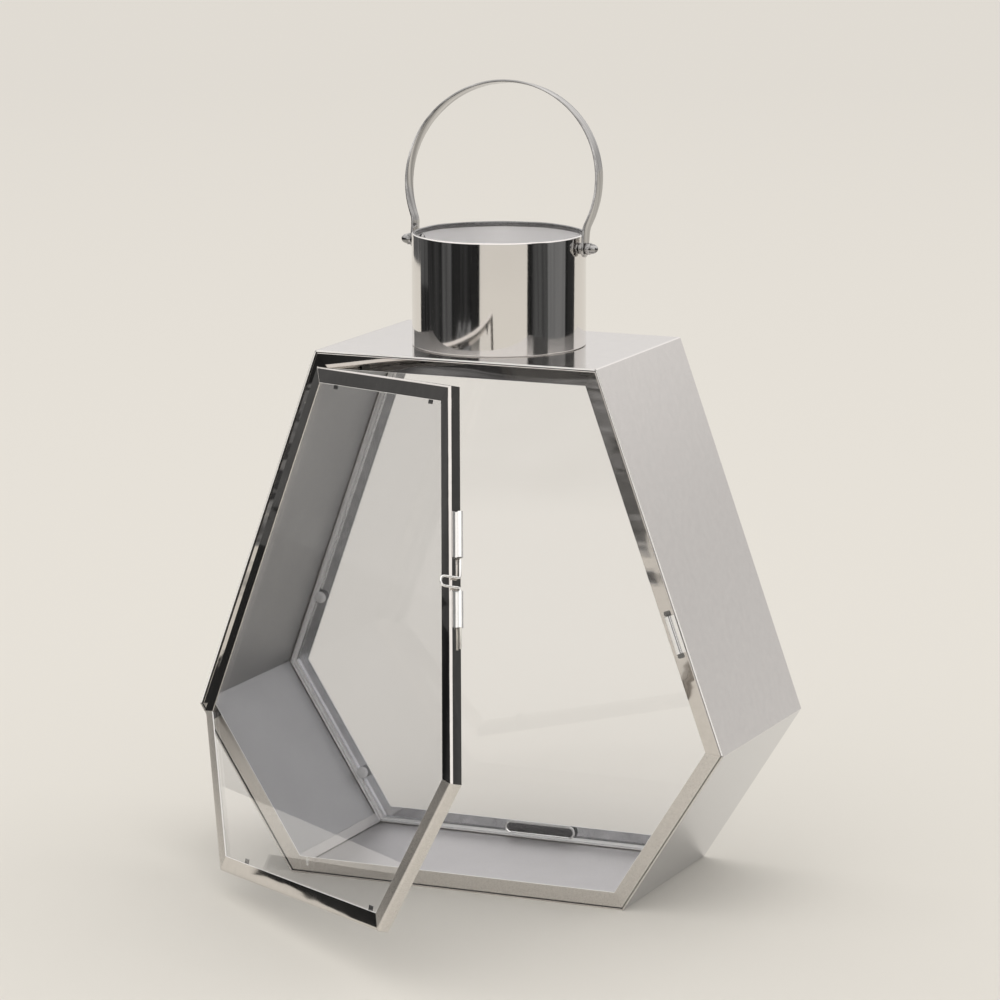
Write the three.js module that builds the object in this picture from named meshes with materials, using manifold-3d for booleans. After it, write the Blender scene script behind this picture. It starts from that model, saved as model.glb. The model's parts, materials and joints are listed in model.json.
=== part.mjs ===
// Candle lantern: a folded steel body with a hexagonal profile, glazed at the back,
// a glazed door hinged on the upper left edge of the front, a round chimney on top
// and a flat bail that turns on two bolts through the chimney.
// Millimetres, +Z up, front towards -Y, origin at the middle of the base's underside.
import * as THREE from "three";
import { mergeVertices } from "three/addons/utils/BufferGeometryUtils.js";
import Module from "manifold-3d";

// ---------- driving dimensions ----------
const clearance = 0.3; // between pieces that touch

// body
const topWidth = 191;
const shoulderWidth = 360;
const baseWidth = 228;
const bodyHeight = 340;
const shoulderHeight = 105;
const bodyDepth = 139;
const bodySheet = 1.0;
const baseLipHeight = 6;

// frames round the two open faces
const frameFace = 9.7;
const frameLeg = 8;
const frameSheet = 0.8;
const frameSetback = 0.4; // how far the front frame sits behind the hood's edge

// glazing
const glassThickness = 3;
const glassInset = 2;
const buttonRadius = 4;
const buttonHeight = 2.5;
const buttonCrown = 0.8; // crown radius over the foot's radius
// how far along its side each button sits, as a share of the side
const buttonShares = { upper_right: 0.8, lower_right: 0.72, lower_left: 0.28, upper_left: 0.2 };
const clipLength = 50;
const clipHeight = 9;
const clipSheet = 0.8;

// door
const doorMarginTop = 9.5; // from the body's outer faces to the door's edge
const doorMarginSide = 8;
const doorMarginLowerRight = 5.9;
const doorMarginBottom = 6.9;
const doorMarginLowerLeft = 3.9;
const doorFace = 10;
const doorDepth = 7.5;
const doorSheet = 0.8;
const doorGap = 0.6; // between the closed door and the front frame
const doorGlassInset = 5.5;
const doorOpenAngle = 41.2; // degrees, as the door stands at rest
// name, side of the door, share of the side's length
const glassTabPlaces = [
  ["top_left", 0, 0.14],
  ["top_right", 0, 0.86],
  ["bottom_right", 3, 0.08],
  ["bottom_left", 3, 0.86],
];
const tabWidth = 5;
const tabReach = 12.5;
const tabSheet = 0.6;

// hinges: a lug on the frame between two barrels on the door, with a pin through all three
const hingePinRadius = 0.8;
const hingeBarrelWall = 0.7;
const hingeBarrelLength = 14;
const hingeRunning = 0.3;
const hingeSwingRoom = 0.25; // left between the turning door edge and the frame
const hingePlaces = [0.14, 0.84]; // shares of the hinge side, from the shoulder up
const lugLength = 12;
const lugSheet = 1.6;
const lugFootThickness = 0.8;
const lugFootReach = 6.5;
const notchRoom = 0.5;
const pinHeadRadius = 1.4;
const pinHeadHeight = 0.9;

// sliding latch on the door's upper right edge; places run down that edge from its top
const wireRadius = 0.7;
const latchBoreRadius = 1.15;
const latchSheet = 0.6;
const latchPlateReach = 4.5;
const upperBarrelStart = 84.7;
const upperBarrelLength = 28;
const lowerBarrelStart = 133.2;
const lowerBarrelLength = 22;
const wireEndInUpperBarrel = 8;
const loopGapBelow = 1.3; // from the loop to the lower barrel
const loopHeight = 6;
const loopReach = 13;
const loopCorner = 2;
const latchTravel = 11.5;
const keeperGap = 2; // from the lower barrel to the keeper
const keeperLength = 24;
const tipGap = 1; // the raised tip stays this far short of the keeper

// chimney
const chimneyRadius = 55;
const chimneyHeight = 71;
const chimneyWall = 1.0;
const hemHeight = 3.2;
const hemFold = 1.2;
const footWidth = 3;

// bail and its bolts
const pivotDrop = 7.4; // below the rim
const boltRadius = 2;
const boltRunning = 0.3;
const boltHeadRadius = 3.6;
const boltHeadHeight = 2.2;
const boltHeadSeat = 0.5; // from the chimney's inner face to the head
const nutAcrossFlats = 7;
const spacerThickness = 2.2;
const acornHexHeight = 3.2;
const acornDomeHeight = 4.6;
const acornBoreDepth = 5;
const acornDomeShare = 0.47; // dome radius over the width across flats
const strapWidth = 10;
const strapThickness = 1.5;
const bailBulge = 6.5; // the oval stands out this far past the straight ends
const bailHalfHeight = 63;
const bailRise = 40; // from the bolts up to the middle of the oval
const tabDrop = 5.5; // the strap's round ends reach this far below the bolts
const bailLean = 10; // degrees towards the back at rest

// ---------- derived ----------
const frontY = -bodyDepth / 2;
const rearY = bodyDepth / 2;
const frontFrameY = frontY + frameSetback;
const doorBackY = frontFrameY - doorGap;
const doorFrontY = doorBackY - doorDepth;
const frameStart = bodySheet + clearance;
const latchOuterRadius = latchBoreRadius + latchSheet;
const latchAxisInboard = doorMarginSide - clearance - latchOuterRadius;
const latchAxisY = frontFrameY - clearance - latchOuterRadius;
const keeperStart = lowerBarrelStart + lowerBarrelLength + keeperGap;
const wireTip = keeperStart - tipGap + latchTravel;
const hingeBarrelRadius = hingePinRadius + hingeRunning + hingeBarrelWall;
const hingeInset = doorSheet + clearance + hingeBarrelRadius;
const hingeInboard = doorMarginSide + hingeInset;
const hingeY = doorFrontY + hingeInset;
const pivotZ = bodyHeight + chimneyHeight - pivotDrop;
const spacerStart = chimneyRadius + clearance;
const strapInner = spacerStart + spacerThickness + clearance;
const strapMiddle = strapInner + strapThickness / 2;
const nutStart = strapInner + strapThickness + clearance;
const bailHalfWidth = strapInner + strapThickness + bailBulge;
const EDGES = ["top", "upper_right", "lower_right", "bottom", "lower_left", "upper_left"];

const wasm = await Module();
wasm.setup();
const lantern = new THREE.Group();
lantern.name = "candle_lantern";

// ---------- materials ----------
function finish(color, roughness, metalness, opacity = 1) {
  const material = new THREE.MeshStandardMaterial({ color, roughness, metalness });
  material.transparent = opacity < 1;
  material.opacity = opacity;
  return material;
}
const polishedSteel = () => finish(0xb9b7b3, 0.12, 1);
const satinSteel = () => finish(0xa9a8a8, 0.45, 1);
const clearGlass = () => finish(0xdfe6e2, 0.05, 0, 0.3);
const clearPlastic = () => finish(0xe4e6e6, 0.25, 0, 0.6);

// ---------- solids ----------
// A closed geometry as a solid that can be joined and cut.
function solid(geometry) {
  const bare = new THREE.BufferGeometry();
  bare.setAttribute("position", geometry.getAttribute("position").clone());
  if (geometry.index) bare.setIndex(geometry.index.clone());
  const merged = mergeVertices(bare, 1e-4);
  const triVerts = new Uint32Array(merged.index.array);
  return new wasm.Manifold(
    new wasm.Mesh({ numProp: 3, vertProperties: merged.attributes.position.array, triVerts }),
  );
}

// The solid as a geometry again.
function geometryOf(manifold) {
  const mesh = manifold.getMesh();
  const geometry = new THREE.BufferGeometry();
  geometry.setAttribute("position", new THREE.BufferAttribute(new Float32Array(mesh.vertProperties), 3));
  geometry.setIndex(new THREE.BufferAttribute(new Uint32Array(mesh.triVerts), 1));
  geometry.computeVertexNormals();
  return geometry;
}

// The first geometry without the others.
function cut(geometry, ...cutters) {
  let left = solid(geometry);
  for (const cutter of cutters) left = left.subtract(solid(cutter));
  return geometryOf(left);
}

// Adds a named mesh to a group.
function place(group, name, geometry, material) {
  const mesh = new THREE.Mesh(geometry, material);
  mesh.name = name;
  group.add(mesh);
  return mesh;
}

// An extruded shape, its middle at the origin along Z.
function slab(shape, depth, curveSegments = 12) {
  const geometry = new THREE.ExtrudeGeometry(shape, { depth, bevelEnabled: false, curveSegments });
  return geometry.translate(0, 0, -depth / 2);
}

function shapeOf(points) {
  return new THREE.Shape(points.map(([x, y]) => new THREE.Vector2(x, y)));
}

// A regular hexagon with the given distance across its flats.
function hexagonShape(acrossFlats) {
  const corner = acrossFlats / Math.sqrt(3);
  const turns = [0, 1, 2, 3, 4, 5].map((k) => (k * Math.PI) / 3);
  return shapeOf(turns.map((a) => [corner * Math.cos(a), corner * Math.sin(a)]));
}

// ---------- the hexagonal outline ----------
// Corners clockwise seen from the front:
// top left, top right, right shoulder, base right, base left, left shoulder.
const bodyOutline = [
  [-topWidth / 2, bodyHeight],
  [topWidth / 2, bodyHeight],
  [shoulderWidth / 2, shoulderHeight],
  [baseWidth / 2, 0],
  [-baseWidth / 2, 0],
  [-shoulderWidth / 2, shoulderHeight],
].map(([x, z]) => new THREE.Vector2(x, z));

// Direction of side k and its normal towards the inside.
function side(outline, k) {
  const from = outline[k];
  const to = outline[(k + 1) % outline.length];
  const along = to.clone().sub(from).normalize();
  return { from, to, along, inward: new THREE.Vector2(along.y, -along.x), length: from.distanceTo(to) };
}

// The outline with each side moved inwards by its own distance.
function insetOutline(outline, distances) {
  return outline.map((_, k) => {
    const last = (k + outline.length - 1) % outline.length;
    const a = side(outline, last);
    const b = side(outline, k);
    const p = a.from.clone().addScaledVector(a.inward, distances[last]);
    const q = b.from.clone().addScaledVector(b.inward, distances[k]);
    const run = q.sub(p).cross(b.along) / a.along.cross(b.along);
    return p.addScaledVector(a.along, run);
  });
}

function evenInset(outline, distance) {
  return insetOutline(outline, outline.map(() => distance));
}

// A side's own frame: X inwards, Y to the back, Z along the side.
function sideFrame(outline, k) {
  const { from, along, inward } = side(outline, k);
  return new THREE.Matrix4()
    .makeBasis(
      new THREE.Vector3(inward.x, 0, inward.y),
      new THREE.Vector3(0, 1, 0),
      new THREE.Vector3(along.x, 0, along.y),
    )
    .setPosition(from.x, 0, from.y);
}

// How far a mitred end runs along side k for each millimetre inwards, at corner c.
function mitreRun(outline, c) {
  const count = outline.length;
  const toLast = outline[(c + count - 1) % count].clone().sub(outline[c]);
  const toNext = outline[(c + 1) % count].clone().sub(outline[c]);
  const half = Math.acos(toLast.dot(toNext) / (toLast.length() * toNext.length())) / 2;
  return { slope: 1 / Math.tan(half), gap: clearance / 2 / Math.sin(half) };
}

// A bar of the given section (X inwards, Y back) along side k, mitred against its neighbours.
function mitredBar(outline, k, section) {
  const start = mitreRun(outline, k);
  const end = mitreRun(outline, (k + 1) % outline.length);
  const { length } = side(outline, k);
  const geometry = new THREE.ExtrudeGeometry(shapeOf(section), { depth: 1, bevelEnabled: false });
  const position = geometry.getAttribute("position");
  for (let v = 0; v < position.count; v++) {
    const inboard = position.getX(v);
    const low = inboard * start.slope + start.gap;
    const high = length - inboard * end.slope - end.gap;
    position.setZ(v, position.getZ(v) < 0.5 ? low : high);
  }
  return geometry.applyMatrix4(sideFrame(outline, k));
}

// A flat pane with the given outline, from y to y + thickness.
function pane(outline, y, thickness) {
  const geometry = slab(new THREE.Shape(outline), thickness).rotateX(Math.PI / 2);
  return geometry.translate(0, y + thickness / 2, 0);
}

// ---------- body ----------
function sheetSection() {
  return [[0, frontY], [bodySheet, frontY], [bodySheet, rearY], [0, rearY]];
}

function topPlate() {
  const hole = new THREE.CylinderGeometry(1, 1, 10 * bodySheet, 72);
  const holeRadius = chimneyRadius - chimneyWall - footWidth;
  hole.scale(holeRadius, 1, holeRadius).rotateX(Math.PI / 2).translate(0, 0, bodyHeight);
  return cut(mitredBar(bodyOutline, 0, sheetSection()), hole);
}

// The floor with a lip up each side, along the foot of the lower walls.
function basePan() {
  const depth = bodyDepth - 2 * (frameLeg + frameSetback + clearance);
  const lipOuter = bodySheet + clearance;
  const middle = bodySheet / 2;
  let pan = solid(mitredBar(bodyOutline, 3, sheetSection()));
  const atInset = (inset) => insetOutline(bodyOutline, [0, 0, inset, middle, inset, 0]);
  for (const [k, corner, way] of [[2, 3, -1], [4, 4, 1]]) {
    const outer = atInset(lipOuter)[corner];
    const inner = atInset(lipOuter + bodySheet)[corner];
    const along = side(bodyOutline, k).along;
    const rise = along.multiplyScalar((way * baseLipHeight) / Math.abs(along.y));
    const lip = [outer, inner, inner.clone().add(rise), outer.clone().add(rise)];
    pan = pan.add(solid(slab(new THREE.Shape(lip), depth).rotateX(Math.PI / 2)));
  }
  return geometryOf(pan);
}

function buildBody(group) {
  place(group, "top_plate", topPlate(), polishedSteel());
  const walls = { 1: "upper_wall_right", 2: "lower_wall_right", 4: "lower_wall_left", 5: "upper_wall_left" };
  for (const [k, name] of Object.entries(walls)) {
    place(group, name, mitredBar(bodyOutline, Number(k), sheetSection()), polishedSteel());
  }
  place(group, "base_pan", basePan(), satinSteel());
}

// ---------- frames ----------
// An angle section: a face frameFace wide at faceY and a leg along the wall towards the inside.
function angleSection(faceY, inwards) {
  const outer = frameStart;
  return [
    [outer, faceY],
    [outer + frameFace, faceY],
    [outer + frameFace, faceY + inwards * frameSheet],
    [outer + frameSheet, faceY + inwards * frameSheet],
    [outer + frameSheet, faceY + inwards * frameLeg],
    [outer, faceY + inwards * frameLeg],
  ];
}

function buildFrames(group) {
  EDGES.forEach((edge, k) => {
    const front = mitredBar(bodyOutline, k, angleSection(frontFrameY, 1));
    const rear = mitredBar(bodyOutline, k, angleSection(rearY, -1));
    place(group, `front_frame_${edge}`, front, polishedSteel());
    place(group, `rear_frame_${edge}`, rear, satinSteel());
  });
}

// ---------- rear glazing ----------
const rearGlassY = rearY - frameSheet - clearance - glassThickness;

// A round clear stop stuck to the glass beside the frame, at a distance along side k.
function glassButton(k, along) {
  const button = new THREE.CylinderGeometry(buttonRadius * buttonCrown, buttonRadius, buttonHeight, 20);
  const inboard = frameStart + frameSheet + clearance + buttonRadius;
  button.rotateX(Math.PI).translate(inboard, rearGlassY - clearance - buttonHeight / 2, along);
  return button.applyMatrix4(sideFrame(bodyOutline, k));
}

// A pressed clip with round ends that holds the pane's foot.
function glassClip() {
  const half = clipHeight / 2;
  const run = clipLength / 2 - half;
  const shape = new THREE.Shape();
  shape.absarc(run, 0, half, -Math.PI / 2, Math.PI / 2, false);
  shape.absarc(-run, 0, half, Math.PI / 2, (3 * Math.PI) / 2, false);
  const plate = slab(shape, clipSheet, 10).rotateX(Math.PI / 2);
  const z = frameStart + frameSheet + clearance + half;
  return plate.translate(0, rearGlassY - clearance - clipSheet / 2, z);
}

function buildRearGlazing(group) {
  const outline = evenInset(bodyOutline, frameStart + frameSheet + glassInset);
  place(group, "rear_glass", pane(outline, rearGlassY, glassThickness), clearGlass());
  for (const [name, share] of Object.entries(buttonShares)) {
    const k = EDGES.indexOf(name);
    const button = glassButton(k, side(bodyOutline, k).length * share);
    place(group, `glass_button_${name}`, button, clearPlastic());
  }
  place(group, "rear_glass_clip", glassClip(), polishedSteel());
}

// ---------- chimney ----------
function chimneyTube() {
  const r = chimneyRadius;
  const inner = r - chimneyWall;
  const foot = bodyHeight + clearance;
  const rim = bodyHeight + chimneyHeight;
  const round = chimneyWall / 2;
  const profile = [
    [inner - footWidth, foot],
    [r, foot],
    [r, rim - round],
    [r - round, rim],
    [inner - hemFold + round, rim],
    [inner - hemFold, rim - round],
    [inner - hemFold, rim - hemHeight],
    [inner, rim - hemHeight],
    [inner, foot + chimneyWall],
    [inner - footWidth, foot + chimneyWall],
    [inner - footWidth, foot],
  ].map(([x, z]) => new THREE.Vector2(x, z));
  const tube = new THREE.LatheGeometry(profile, 72).rotateX(Math.PI / 2);
  const drill = new THREE.CylinderGeometry(boltRadius + boltRunning, boltRadius + boltRunning, 3 * r, 24);
  return cut(tube, drill.rotateZ(Math.PI / 2).translate(0, 0, pivotZ));
}

// ---------- bail pivots ----------
// Turns a piece made along +Z so that it points out along X, on the right (1) or the left (-1).
function pointOut(geometry, hand) {
  return geometry.rotateY((hand * Math.PI) / 2).translate(0, 0, pivotZ);
}

function pivotBolt(hand) {
  const head = chimneyRadius - chimneyWall - boltHeadSeat;
  const end = nutStart + acornBoreDepth - clearance;
  const profile = [
    [0, head - boltHeadHeight],
    [boltHeadRadius * 0.55, head - boltHeadHeight],
    [boltHeadRadius * 0.9, head - boltHeadHeight * 0.6],
    [boltHeadRadius, head],
    [boltRadius, head],
    [boltRadius, end],
    [0, end],
  ].map(([x, z]) => new THREE.Vector2(x, z));
  return pointOut(new THREE.LatheGeometry(profile, 20).rotateX(Math.PI / 2), hand);
}

function boltHole(from, length) {
  const hole = new THREE.CylinderGeometry(boltRadius + boltRunning, boltRadius + boltRunning, length, 20);
  return hole.rotateX(Math.PI / 2).translate(0, 0, from + length / 2);
}

function spacerNut(hand) {
  const nut = slab(hexagonShape(nutAcrossFlats), spacerThickness);
  nut.translate(0, 0, spacerStart + spacerThickness / 2);
  return pointOut(cut(nut, boltHole(spacerStart - 1, spacerThickness + 2)), hand);
}

// A hexagon with a dome on it and a blind bore for the bolt's end.
function acornNut(hand) {
  const hex = slab(hexagonShape(nutAcrossFlats), acornHexHeight);
  hex.translate(0, 0, nutStart + acornHexHeight / 2);
  const radius = nutAcrossFlats * acornDomeShare;
  const shoulder = nutStart + acornHexHeight;
  const arc = Array.from({ length: 7 }, (_, k) => (k * Math.PI) / 12);
  const domePoint = (a) => new THREE.Vector2(radius * Math.cos(a), shoulder + acornDomeHeight * Math.sin(a));
  const dome = arc.map(domePoint);
  const foot = shoulder - acornHexHeight / 3;
  const profile = [new THREE.Vector2(0, foot), new THREE.Vector2(radius, foot), ...dome];
  profile[profile.length - 1].x = 0;
  const cap = new THREE.LatheGeometry(profile, 24).rotateX(Math.PI / 2);
  const joined = solid(hex).add(solid(cap)).subtract(solid(boltHole(nutStart - 1, acornBoreDepth + 1)));
  return pointOut(geometryOf(joined), hand);
}

function buildChimney(group) {
  place(group, "chimney", chimneyTube(), polishedSteel());
  for (const [name, hand] of [["left", -1], ["right", 1]]) {
    place(group, `pivot_bolt_${name}`, pivotBolt(hand), polishedSteel());
    place(group, `pivot_spacer_${name}`, spacerNut(hand), polishedSteel());
    place(group, `acorn_nut_${name}`, acornNut(hand), polishedSteel());
  }
}

// ---------- bail ----------
// One face of the strap, offset from its middle line:
// points from the right end over the top to the left end.
function strapLine(offset) {
  const x = strapMiddle + offset;
  const a = bailHalfWidth - strapThickness / 2 + offset;
  const b = bailHalfHeight - strapThickness / 2 + offset;
  const start = -Math.acos(x / a);
  const steps = 56;
  const points = [[x, -tabDrop]];
  for (let k = 0; k <= steps; k++) {
    const t = start + ((Math.PI - 2 * start) * k) / steps;
    points.push([a * Math.cos(t), bailRise + b * Math.sin(t)]);
  }
  points.push([-x, -tabDrop]);
  return points;
}

// What is cut off below a round strap end.
function endTrim() {
  const half = strapWidth / 2;
  const middle = half - tabDrop;
  const shape = new THREE.Shape();
  shape.moveTo(-half - 2, middle);
  shape.lineTo(-half - 2, -tabDrop - 2);
  shape.lineTo(half + 2, -tabDrop - 2);
  shape.lineTo(half + 2, middle);
  shape.lineTo(half, middle);
  shape.absarc(0, middle, half, 0, Math.PI, true);
  return slab(shape, 3 * shoulderWidth, 16).rotateX(Math.PI / 2).rotateZ(Math.PI / 2);
}

function bailStrap() {
  const outer = strapLine(strapThickness / 2);
  const inner = strapLine(-strapThickness / 2).reverse();
  const strap = slab(shapeOf([...outer, ...inner]), strapWidth).rotateX(Math.PI / 2);
  const boreRadius = boltRadius + boltRunning;
  const bore = new THREE.CylinderGeometry(boreRadius, boreRadius, 3 * bailHalfWidth, 24);
  return cut(strap, endTrim(), bore.rotateZ(Math.PI / 2));
}

function buildBail(group) {
  const bail = new THREE.Group();
  bail.position.z = pivotZ;
  bail.rotation.x = -THREE.MathUtils.degToRad(bailLean);
  place(bail, "bail_strap", bailStrap(), polishedSteel());
  group.add(bail);
}

// ---------- hinge ----------
const doorMargins = [
  doorMarginTop,
  doorMarginSide,
  doorMarginLowerRight,
  doorMarginBottom,
  doorMarginLowerLeft,
  doorMarginSide,
];
const doorOutline = insetOutline(bodyOutline, doorMargins);
const hingeFrame = sideFrame(bodyOutline, 5);
const hingeLength = side(bodyOutline, 5).length;

// A round piece on the hinge axis between two distances up the hinge side.
function onHingeAxis(radius, from, to, segments = 20) {
  const rod = new THREE.CylinderGeometry(radius, radius, to - from, segments);
  rod.rotateX(Math.PI / 2).translate(hingeInboard, hingeY, (from + to) / 2);
  return rod.applyMatrix4(hingeFrame);
}

// An eye round the pin, a leg back to the frame and a foot that lies on the frame's face.
function hingeLug(middle) {
  const half = lugSheet / 2;
  const foot = frontFrameY - clearance - hingeY;
  const section = [
    [-half, 0],
    [half, 0],
    [half, foot],
    [-lugFootReach, foot],
    [-lugFootReach, foot - lugFootThickness],
    [-half, foot - lugFootThickness],
  ];
  const plate = slab(shapeOf(section), lugLength).translate(hingeInboard, hingeY, middle);
  plate.applyMatrix4(hingeFrame);
  const eye = onHingeAxis(hingeBarrelRadius, middle - lugLength / 2, middle + lugLength / 2);
  const bore = onHingeAxis(hingePinRadius + hingeRunning, middle - lugLength, middle + lugLength);
  return geometryOf(solid(plate).add(solid(eye)).subtract(solid(bore)));
}

// A barrel in the corner of the door's edge, on one side of the lug: hand is 1 above and -1 below.
function hingeBarrel(middle, hand) {
  const near = middle + hand * (lugLength / 2 + notchRoom);
  const far = near + hand * hingeBarrelLength;
  const low = Math.min(near, far);
  const high = Math.max(near, far);
  const bore = onHingeAxis(hingePinRadius + hingeRunning, low - 1, high + 1);
  return cut(onHingeAxis(hingeBarrelRadius, low, high), bore);
}

// A pin through the lug and both barrels, with a head at each end.
function hingePin(middle) {
  const end = lugLength / 2 + notchRoom + hingeBarrelLength + clearance;
  const tip = end + pinHeadHeight;
  let pin = solid(onHingeAxis(hingePinRadius, middle - tip, middle + tip));
  pin = pin.add(solid(onHingeAxis(pinHeadRadius, middle - tip, middle - end)));
  pin = pin.add(solid(onHingeAxis(pinHeadRadius, middle + end, middle + tip)));
  return geometryOf(pin);
}

function buildHinges(root, door) {
  ["lower", "upper"].forEach((name, k) => {
    const middle = hingeLength * hingePlaces[k];
    place(root, `hinge_lug_${name}`, hingeLug(middle), polishedSteel());
    place(root, `hinge_pin_${name}`, hingePin(middle), polishedSteel());
    place(door, `hinge_barrel_${name}_top`, hingeBarrel(middle, 1), polishedSteel());
    place(door, `hinge_barrel_${name}_bottom`, hingeBarrel(middle, -1), polishedSteel());
  });
}

// ---------- door ----------
// The door's angle section: a face at the front and a return along its outer edge.
function doorSection() {
  return [
    [0, doorFrontY],
    [doorFace, doorFrontY],
    [doorFace, doorFrontY + doorSheet],
    [doorSheet, doorFrontY + doorSheet],
    [doorSheet, doorBackY],
    [0, doorBackY],
  ];
}

// A box in the hinge side's frame between opposite corners.
function hingeSideBox(low, high) {
  const size = high.map((value, k) => value - low[k]);
  const box = new THREE.BoxGeometry(...size);
  box.translate(...low.map((value, k) => value + size[k] / 2));
  return box.applyMatrix4(hingeFrame);
}

// The strip outboard of the hinge axis that would strike the frame as the door turns.
function swingRelief() {
  const reach = frontFrameY - hingeSwingRoom - hingeY;
  const kept = hingeY + Math.sqrt(reach * reach - hingeInset * hingeInset);
  return hingeSideBox([0, kept, -bodyDepth], [hingeInboard, kept + doorDepth, hingeLength + bodyDepth]);
}

// Room for a lug in the door's hinge edge.
function lugNotch(share) {
  const half = lugLength / 2 + notchRoom;
  const middle = hingeLength * share;
  const inner = doorMarginSide + doorSheet + clearance / 2;
  const back = doorBackY + doorDepth;
  return hingeSideBox([0, doorFrontY + doorSheet, middle - half], [inner, back, middle + half]);
}

function doorStrip(k) {
  const bar = mitredBar(doorOutline, k, doorSection());
  if (k === 5) return cut(bar, swingRelief(), ...hingePlaces.map(lugNotch));
  return k === 0 || k === 4 ? cut(bar, swingRelief()) : bar;
}

// A bent tab that laps over the back of the pane, at a share of side k.
function glassTab(k, share) {
  const front = doorFrontY + doorSheet + clearance;
  const back = front + glassThickness + clearance + tabSheet;
  const foot = doorSheet + clearance;
  const section = [
    [foot, front],
    [foot + tabSheet, front],
    [foot + tabSheet, back - tabSheet],
    [tabReach, back - tabSheet],
    [tabReach, back],
    [foot, back],
  ];
  const tab = slab(shapeOf(section), tabWidth).translate(0, 0, side(doorOutline, k).length * share);
  return tab.applyMatrix4(sideFrame(doorOutline, k));
}

function buildDoor(door) {
  EDGES.forEach((edge, k) => place(door, `door_frame_${edge}`, doorStrip(k), polishedSteel()));
  const glass = evenInset(doorOutline, doorGlassInset);
  const glassY = doorFrontY + doorSheet + clearance;
  place(door, "door_glass", pane(glass, glassY, glassThickness), clearGlass());
  for (const [name, k, share] of glassTabPlaces) {
    place(door, `door_glass_tab_${name}`, glassTab(k, share), satinSteel());
  }
}

// ---------- latch ----------
const latchFrame = sideFrame(bodyOutline, 1);

// A sheet rolled into a barrel with a flat plate beside it: X along the plate, Y away from it, bore on Z.
function rolledBarrel(length) {
  const r = latchOuterRadius;
  const meet = Math.asin((latchSheet - r) / r);
  const shape = new THREE.Shape();
  shape.moveTo(0, 0);
  shape.lineTo(latchPlateReach, 0);
  shape.lineTo(latchPlateReach, latchSheet);
  shape.lineTo(r * Math.cos(meet), latchSheet);
  shape.absarc(0, r, r, meet, (3 * Math.PI) / 2, false);
  const bore = new THREE.Path();
  bore.absarc(0, r, latchBoreRadius, 0, 2 * Math.PI, true);
  shape.holes.push(bore);
  return slab(shape, length, 10).translate(0, -r, 0);
}

// Turned so that its plate lies on the door's edge and reaches to the front.
function doorBarrel(start, length) {
  const front = new THREE.Vector3(0, -1, 0);
  const outboard = new THREE.Vector3(-1, 0, 0);
  const turn = new THREE.Matrix4().makeBasis(front, outboard, new THREE.Vector3(0, 0, -1));
  const barrel = rolledBarrel(length).applyMatrix4(turn);
  return barrel.translate(latchAxisInboard, latchAxisY, start + length / 2).applyMatrix4(latchFrame);
}

// Turned so that its plate lies on the front frame and reaches outboard.
function keeperBarrel() {
  const barrel = rolledBarrel(keeperLength).rotateZ(Math.PI);
  barrel.translate(latchAxisInboard, latchAxisY, keeperStart + keeperLength / 2);
  return barrel.applyMatrix4(latchFrame);
}

// A straight wire with a finger loop bent out to the front.
function latchWire() {
  const low = lowerBarrelStart - loopGapBelow - wireRadius;
  const high = low - loopHeight;
  const at = (reach, along) => new THREE.Vector3(latchAxisInboard, latchAxisY - reach, along);
  const path = new THREE.CurvePath();
  const corner = (from, bend, to) => path.add(new THREE.QuadraticBezierCurve3(from, bend, to));
  const line = (from, to) => path.add(new THREE.LineCurve3(from, to));
  const c = loopCorner;
  line(at(0, upperBarrelStart + wireEndInUpperBarrel), at(0, high - c));
  corner(at(0, high - c), at(0, high), at(c, high));
  line(at(c, high), at(loopReach - c, high));
  corner(at(loopReach - c, high), at(loopReach, high), at(loopReach, high + c));
  line(at(loopReach, high + c), at(loopReach, low - c));
  corner(at(loopReach, low - c), at(loopReach, low), at(loopReach - c, low));
  line(at(loopReach - c, low), at(c, low));
  corner(at(c, low), at(0, low), at(0, low + c));
  line(at(0, low + c), at(0, wireTip));
  const round = new THREE.Shape().absarc(0, 0, wireRadius, 0, 2 * Math.PI, false);
  const wire = new THREE.ExtrudeGeometry(round, { extrudePath: path, steps: 120, curveSegments: 5 });
  return wire.applyMatrix4(latchFrame);
}

function buildLatch(root, door) {
  place(door, "latch_barrel_upper", doorBarrel(upperBarrelStart, upperBarrelLength), polishedSteel());
  place(door, "latch_barrel_lower", doorBarrel(lowerBarrelStart, lowerBarrelLength), polishedSteel());
  place(door, "latch_bolt", latchWire(), polishedSteel());
  place(root, "latch_keeper", keeperBarrel(), polishedSteel());
}

// ---------- assembly ----------
// Turns the door's pieces about the hinge axis to where it stands.
function openDoor(door) {
  const { from, along, inward } = side(bodyOutline, 5);
  const start = from.clone().addScaledVector(inward, hingeInboard);
  const pivot = new THREE.Vector3(start.x, hingeY, start.y);
  const downEdge = new THREE.Vector3(-along.x, 0, -along.y);
  door.quaternion.setFromAxisAngle(downEdge, THREE.MathUtils.degToRad(doorOpenAngle));
  door.position.copy(pivot).sub(pivot.clone().applyQuaternion(door.quaternion));
}

const door = new THREE.Group();
buildBody(lantern);
buildFrames(lantern);
buildRearGlazing(lantern);
buildChimney(lantern);
buildBail(lantern);
buildHinges(lantern, door);
buildDoor(door);
buildLatch(lantern, door);
openDoor(door);
lantern.add(door);
lantern.updateMatrixWorld(true);

export default lantern;
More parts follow.
